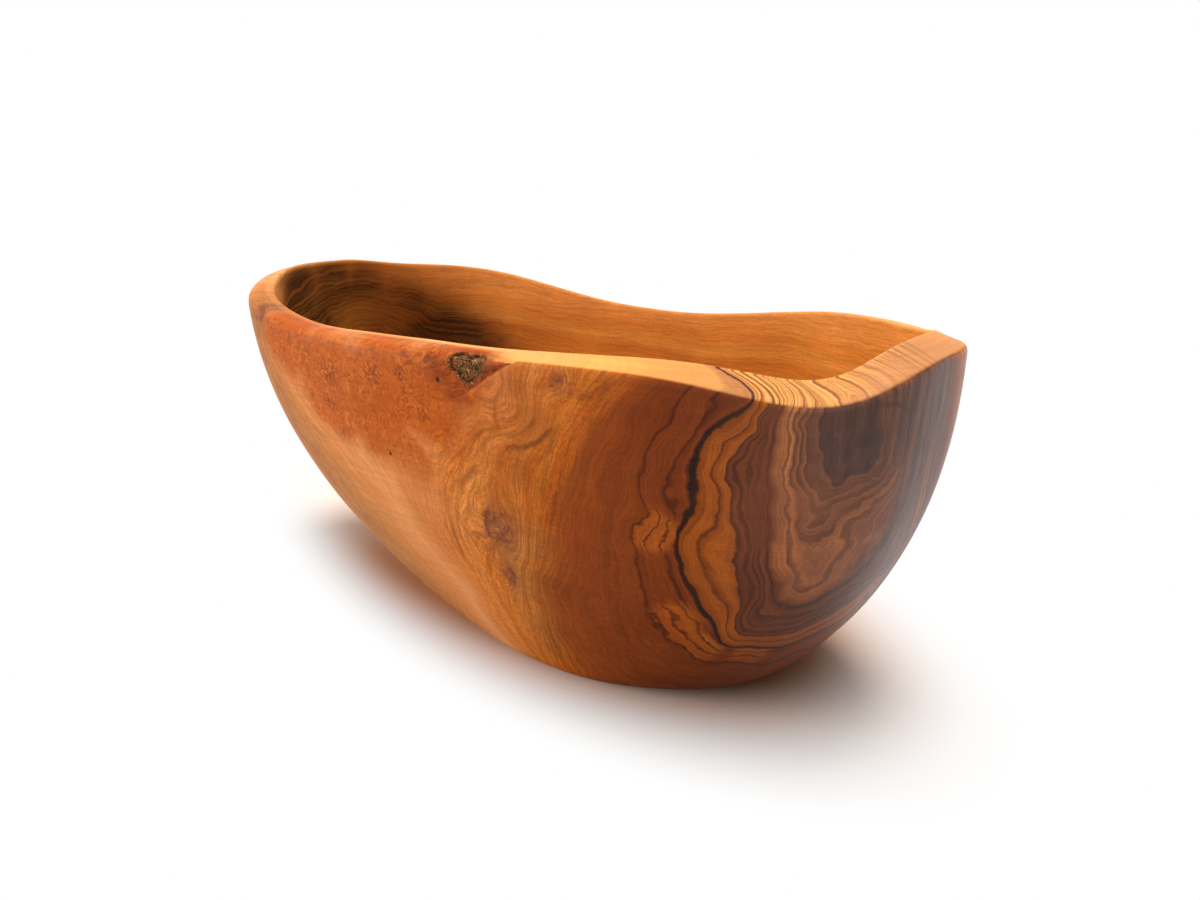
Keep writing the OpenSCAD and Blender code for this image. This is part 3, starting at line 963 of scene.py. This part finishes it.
def year_lines(wood, colour):
    """Year lines and silk along the figure, bold in the heart and finely drawn in the front sapwood."""
    drawn = wood.times(
        wood.aged(86, 96),
        wood.aged(136, 126),
        wood.fade(wood.y, 0.0, -0.02),
        wood.fade(wood.inside, 0.5, 0.0),
    )
    quiet, clear = wood.fade(wood.years, 0.25, 0.75, 0.9, 1.06), wood.fade(wood.years, 0.34, 0.6, 0.8, 1.08)
    bold = wood.fade(wood.years, 0.3, 0.68, 0.76, 1.14)
    grown = wood.between(wood.heart, wood.between(drawn, quiet, clear), bold)
    shown = wood.times(
        wood.fade(wood.inside, 1.0, 0.0, 0.4),
        wood.aged(5, 10, 0.2),
        wood.fade(wood.noise(60, 3, 0.6), 0.35, 0.65, 0.35, 1.1),
        wood.fade(wood.field("smoke"), 0.0, 0.6, 1.0, 0.4),
    )
    speck = wood.fade(wood.noise(900, 3, 0.6), 0.34, 0.66, 0.88, 1.1)
    flecked = wood.times(wood.fade(wood.silk, 0.3, 0.7, 0.84, 1.14), speck)
    return wood.scaled(colour, wood.times(
        wood.between(shown, 1.0, grown),
        wood.fade(wood.fibre, 0.3, 0.7, 0.84, 1.12),
        wood.fade(wood.silk, 0.3, 0.7, 0.88, 1.1),
        wood.between(drawn, 1.0, flecked),
    ))


def broad_tones(wood, colour):
    """Slow change of tone through the wood, and a duller, bluer tan in spots low on the front wall."""
    tone = wood.fade(wood.noise(24, 3, 0.55), 0.35, 0.65)
    colour = wood.blend(tone, wood.tinted(colour, DULL_TINT), colour)
    return wood.blend(wood.field("tan"), colour, wood.tinted(colour, TAN_TINT))


def burl(wood, colour):
    """Crowded curls of red and gold round small eyes."""
    curls = wood.noise(240, 6, 0.76, 2.4)
    rich = wood.fade(wood.noise(75, 2, 0.5), 0.4, 0.58, 0.5)
    curled = wood.blend(rich, srgb(*BURL_PLAIN), wood.ramp(curls, BURL_STOPS))
    patchy = wood.swing(wood.noise(60, 3, 0.6), 0.8)
    share = wood.fade(wood.plus(wood.field("burl"), patchy), 0.15, 0.7, 0.0, 0.88)
    colour = wood.blend(share, colour, curled)
    eye = wood.times(wood.fade(wood.field("eye"), 0.35, 0.95), wood.fade(curls, 0.58, 0.44), 0.55)
    return wood.paint(colour, eye, EYE_COLOUR)


def dark_lines(wood, colour):
    """Shades and frayed dark lines of the figure."""
    colour = wood.paint(colour, wood.times(wood.field("shade"), 0.45), SHADE_COLOUR)
    frayed = wood.swing(wood.noise(320, 5, 0.7), 1.0)
    for name, (strength, line_colour) in LINE_COLOURS.items():
        line = wood.fade(wood.plus(wood.field(name), frayed), 0.2, 1.0, 0.0, strength)
        colour = wood.paint(colour, line, line_colour)
    return colour


def flames(wood, colour):
    """Short golden curls in the sapwood."""
    curl = wood.noise(250, 5, 0.7, 1.4, wood.stretched(1, 1, 0.55))
    stroke = wood.noise(95, 3, 0.6, 1.6, wood.stretched(1, 1, 0.7))
    burn = wood.times(wood.fade(curl, 0.43, 0.6), wood.fade(stroke, 0.4, 0.6, 0.3, 1.15))
    colour = wood.paint(colour, wood.times(wood.field("flame"), burn, 0.95), FLAME_LIGHT)
    shadow = wood.times(wood.field("flame"), wood.fade(curl, 0.48, 0.34), 0.85)
    return wood.paint(colour, shadow, FLAME_DARK)


def knots_and_smoke(wood, colour):
    """Knots, smoky heartwood in the hollow that is partly painted shade, and pale sapwood that is partly
    painted floor bounce.
    """
    stain = wood.fade(wood.noise(130, 4, 0.65, 1.5), 0.62, 0.38, 0.15, 0.75)
    knot = wood.times(wood.fade(wood.field("knot"), 0.15, 0.9), stain)
    colour = wood.paint(colour, knot, KNOT_COLOUR)
    # Smoky heartwood, partly painted shade deep in the far end of the hollow
    cloud = wood.noise(30, 3, 0.5, 0.8, wood.stretched(0.7, 0.7, 1.3))
    smoke = wood.times(
        wood.fade(wood.field("smoke"), 0.0, 0.8),
        wood.fade(cloud, 0.62, 0.42, 0.72, 0.96),
        wood.fade(wood.years, 0.66, 0.4, 0.82),
    )
    colour = wood.paint(colour, smoke, SMOKE_AND_SHADE_COLOUR)
    # Pale sapwood low on the left wall, partly painted light bounced from the floor
    return wood.paint(colour, wood.times(wood.field("pale"), 0.4), PALE_AND_BOUNCE_COLOUR)


def torn_and_shaded_facet(wood, colour):
    """Torn fibres of the scooped facet, darker partly as painted shade of its recess."""
    return wood.blend(wood.times(wood.field("facet"), 0.88), colour, wood.ramp(wood.torn, TORN_AND_SHADED_STOPS))


def hollow_and_rim(wood, colour):
    """The hollow lit by painted light, and the sanded rim, partly in painted light, with the heart's stripes
    and bold vein across it.
    """
    # Painted light: the hollow is a lighter copy of the wood's colour
    colour = wood.blend(wood.inside, colour, wood.tinted(colour, PAINTED_HOLLOW_LIGHT))
    # Painted light in part: the rim is a lighter copy of the wood's own colour
    light = wood.node("Gamma", {"Color": colour, "Gamma": RIM_GAMMA}).outputs[0]
    light = wood.tinted(light, RIM_TINT)
    light = wood.paint(light, wood.aged(63, 66, 0.0, 0.6), RIM_COLOUR)
    bands = wood.ramp(wood.lines(wood.age, 0.3, 3.0, 0.6), RIM_STOPS)
    bands = wood.scaled(bands, wood.fade(wood.lines(wood.age, 1.3, 2.0, 0.6), 0.3, 0.5, 0.72))
    light = wood.blend(wood.aged(61, 58, 0.0, 0.9), light, bands)
    vein = wood.times(wood.aged(61.2, 61.8), wood.aged(63.1, 62.5), 0.85)
    light = wood.paint(light, vein, VEIN_COLOUR)
    light = wood.paint(light, wood.fade(wood.x, 0.13, 0.147, 0.0, 0.75), TIP_COLOUR)
    return wood.blend(wood.field("top"), colour, light)


def bark_pocket(wood, colour):
    """The dark pocket, with crumbs of bark and torn fibres beside it."""
    colour = wood.paint(colour, wood.field("pocket"), POCKET_COLOUR)
    crumbs = wood.noise(820, 5, 0.75, 1.2)
    ragged = wood.plus(wood.times(wood.field("ragged"), 0.5), wood.swing(crumbs, 1.0))
    return wood.blend(wood.fade(ragged, 0.28, 0.46), colour, wood.ramp(crumbs, CRUMB_STOPS))


def pits(wood, colour):
    """Small dark pits in the outer wall."""
    for turn, level, radius in PITS:
        a = column_angle(turn)
        seat = outer_wall(a, outer_share(a, level)) * MM
        ends = {0: wood.place, 1: seat.tolist()}
        away = wood.node("VectorMath", ends, operation="DISTANCE").outputs["Value"]
        colour = wood.paint(colour, wood.fade(away, radius * 1.6 * MM, radius * 0.6 * MM), PIT_COLOUR)
    return colour


def fine_surface(wood, colour):
    """Pores, and faint scratches from sanding."""
    scratches = wood.fade(wood.noise(1.0, 2, 0.5, place=wood.stretched(25, 25, 1500)), 0.3, 0.7, 0.94, 1.05)
    return wood.scaled(colour, wood.times(wood.fade(wood.pores, 0.3, 0.42, 0.88), scratches))


WOOD_LAYERS = (
    heartwood, dusky_stripes_and_sheen, golden_bands, year_lines, broad_tones, burl, dark_lines, flames,
    knots_and_smoke, torn_and_shaded_facet, hollow_and_rim, bark_pocket, pits, fine_surface,
)


def olive_wood():
    wood = Wood()
    colour = growth_bands(wood)
    for layer in WOOD_LAYERS:
        colour = layer(wood, colour)
    normal = wood.bump(wood.pores, PORE_DEPTH, wood.bump(wood.fibre, FIBRE_DEPTH))
    normal = wood.bump(wood.times(wood.torn, wood.field("facet")), TORN_DEPTH, normal)
    return wood.finish(**{
        "Base Color": colour, "Normal": normal, "Specular IOR Level": 0.06,
        "Roughness": wood.fade(wood.noise(300, 3, 0.6), 0.3, 0.7, 0.45, 0.55),
        "Coat Weight": wood.times(wood.field("polish"), 0.6), "Coat Roughness": 0.33,
    })


def rough_bark():
    graph = Graph(bpy.data.materials.new("bark"))
    crumbs = graph.noise(760, 5, 0.75, 1.4)
    rust = graph.fade(graph.noise(260, 3, 0.6), 0.5, 0.62, 0.0, 0.6)
    return graph.finish(**{
        "Base Color": graph.paint(graph.ramp(crumbs, BARK_STOPS), rust, RUST_COLOUR),
        "Normal": graph.bump(crumbs, CRUMB_DEPTH), "Roughness": 0.85, "Specular IOR Level": 0.2,
    })


# Studio: pale floor, soft lamps overhead and at the left front, and the photograph's camera

FLOOR_SIZE = 8.0
# The floor's pale colour is warm, which paints light bounced from the wood into the bowl's shadow
WARM_PAINTED_FLOOR_COLOUR, FLOOR_BOUNCE = (0.9, 0.8, 0.7, 1), (0.38, 0.37, 0.37, 1)
SHADOW_MIDDLE, SHADOW_LENGTH, SHADOW_WIDTH, SHADOW_ANGLE = (-0.055, 0.046, 0), 0.52, 0.235, -17
SHADOW_START, SHADOW_END = 0.62, 0.96
# Painted contact shade: warm dark brown on the floor where the bowl stands close over it
PAINTED_CONTACT_SHADE, PAINTED_SHADE_REACH = (0.6, 0.3, 0.15, 1), 0.12
PAINTED_SHADE_START, PAINTED_SHADE_END = 0.35, 0.95
WORLD_LIGHT = 0.3
LAMP_TARGET = (0, 0, 0.06)

# Places, sizes and watts of the lamps
LAMPS = {"key": ((0.06, 0.25, 1.5), 0.7, 21), "side": ((-0.9, -1.1, 0.4), 1.0, 18)}


def white_to_eye(graph):
    """1 for the rays of the camera and of reflections, which see plain white, and 0 for the others."""
    rays = graph.node("LightPath").outputs
    kinds = ("Is Camera Ray", "Is Glossy Ray", "Is Transmission Ray")
    return reduce(partial(graph.math, "MAXIMUM"), [rays[kind] for kind in kinds])


def make_floor():
    """Pale floor that keeps the bowl's shadow and painted warm shade near it, and is plain white to the eye
    farther off.
    """
    half = FLOOR_SIZE / 2 / MM
    corners = [(-half, -half, 0), (half, -half, 0), (half, half, 0), (-half, half, 0)]
    floor = mesh_piece("floor", corners, [(0, 1, 2, 3)])
    graph = Graph(bpy.data.materials.new("floor"))
    off = graph.node("Mapping", {
        "Vector": graph.place, "Location": SHADOW_MIDDLE, "Rotation": (0, 0, math.radians(SHADOW_ANGLE)),
        "Scale": (SHADOW_LENGTH / 2, SHADOW_WIDTH / 2, 1),
    }, vector_type="TEXTURE").outputs["Vector"]
    off = graph.node("VectorMath", {0: off}, operation="LENGTH").outputs["Value"]
    seen = white_to_eye(graph)
    plain = graph.times(graph.fade(off, SHADOW_START, SHADOW_END), seen)
    # Painted shade: ambient occlusion turns the floor warm dark brown close under the bowl
    clear = graph.node("AmbientOcclusion", {"Distance": PAINTED_SHADE_REACH}).outputs["AO"]
    shown = graph.blend(graph.fade(clear, PAINTED_SHADE_START, PAINTED_SHADE_END), PAINTED_CONTACT_SHADE, WARM_PAINTED_FLOOR_COLOUR)
    matt = graph.node("BsdfDiffuse", {"Color": graph.blend(seen, FLOOR_BOUNCE, shown)}).outputs[0]
    bright = graph.node("Emission", {"Color": (1, 1, 1, 1), "Strength": 1.0}).outputs[0]
    shade = graph.node("MixShader", {0: plain, 1: matt, 2: bright}).outputs[0]
    graph.node("OutputMaterial", {"Surface": shade})
    floor.data.materials.append(graph.owner)


def make_world():
    graph = Graph(bpy.data.worlds.new("studio"))
    bpy.context.scene.world = graph.owner
    levels = {"Value": white_to_eye(graph), "To Min": WORLD_LIGHT, "To Max": 1.0}
    strength = graph.node("MapRange", levels).outputs[0]
    shade = graph.node("Background", {"Color": (1, 1, 1, 1), "Strength": strength}).outputs[0]
    graph.node("OutputWorld", {"Surface": shade})


def make_lamp(name, place, size, watts):
    light = bpy.data.lights.new(name, "AREA")
    light.shape = "DISK"
    light.size = size
    light.energy = watts
    lamp = add_object(name, light)
    lamp.location = place
    lamp.rotation_euler = (Vector(LAMP_TARGET) - Vector(place)).to_track_quat("-Z", "Y").to_euler()


def make_camera():
    data = bpy.data.cameras.new("camera")
    data.sensor_fit = "HORIZONTAL"
    data.sensor_width = SENSOR_WIDTH
    data.lens = CAMERA_LENS
    data.clip_start = CAMERA_CLIP
    camera = add_object("camera", data)
    camera.location = Vector(CAMERA_PLACE) * MM
    camera.rotation_euler = (math.radians(90 - CAMERA_ELEVATION), 0, math.radians(CAMERA_AZIMUTH))
    bpy.context.scene.camera = camera


def place_piece(piece, material, node):
    piece.data.materials.append(material)
    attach(piece, "root")
    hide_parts(node)


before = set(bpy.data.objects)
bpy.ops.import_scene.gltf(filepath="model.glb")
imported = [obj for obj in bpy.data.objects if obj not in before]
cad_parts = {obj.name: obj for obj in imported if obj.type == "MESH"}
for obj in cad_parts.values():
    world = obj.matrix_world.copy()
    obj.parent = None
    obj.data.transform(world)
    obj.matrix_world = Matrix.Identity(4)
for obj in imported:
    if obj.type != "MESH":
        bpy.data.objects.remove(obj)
cad_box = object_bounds()
bpy.context.scene.view_settings.view_transform = "Standard"

bark_frame = BarkFrame()
bowl_box = [np.array(corner) / MM for corner in cad_box]
bowl, skin = make_bowl(bark_frame, bowl_box)
place_piece(bowl, olive_wood(), "bowl")
place_piece(make_bark(bark_frame, skin), rough_bark(), "bark_inclusion")

make_camera()
make_floor()
make_world()
for lamp_name, lamp in LAMPS.items():
    make_lamp(lamp_name, *lamp)
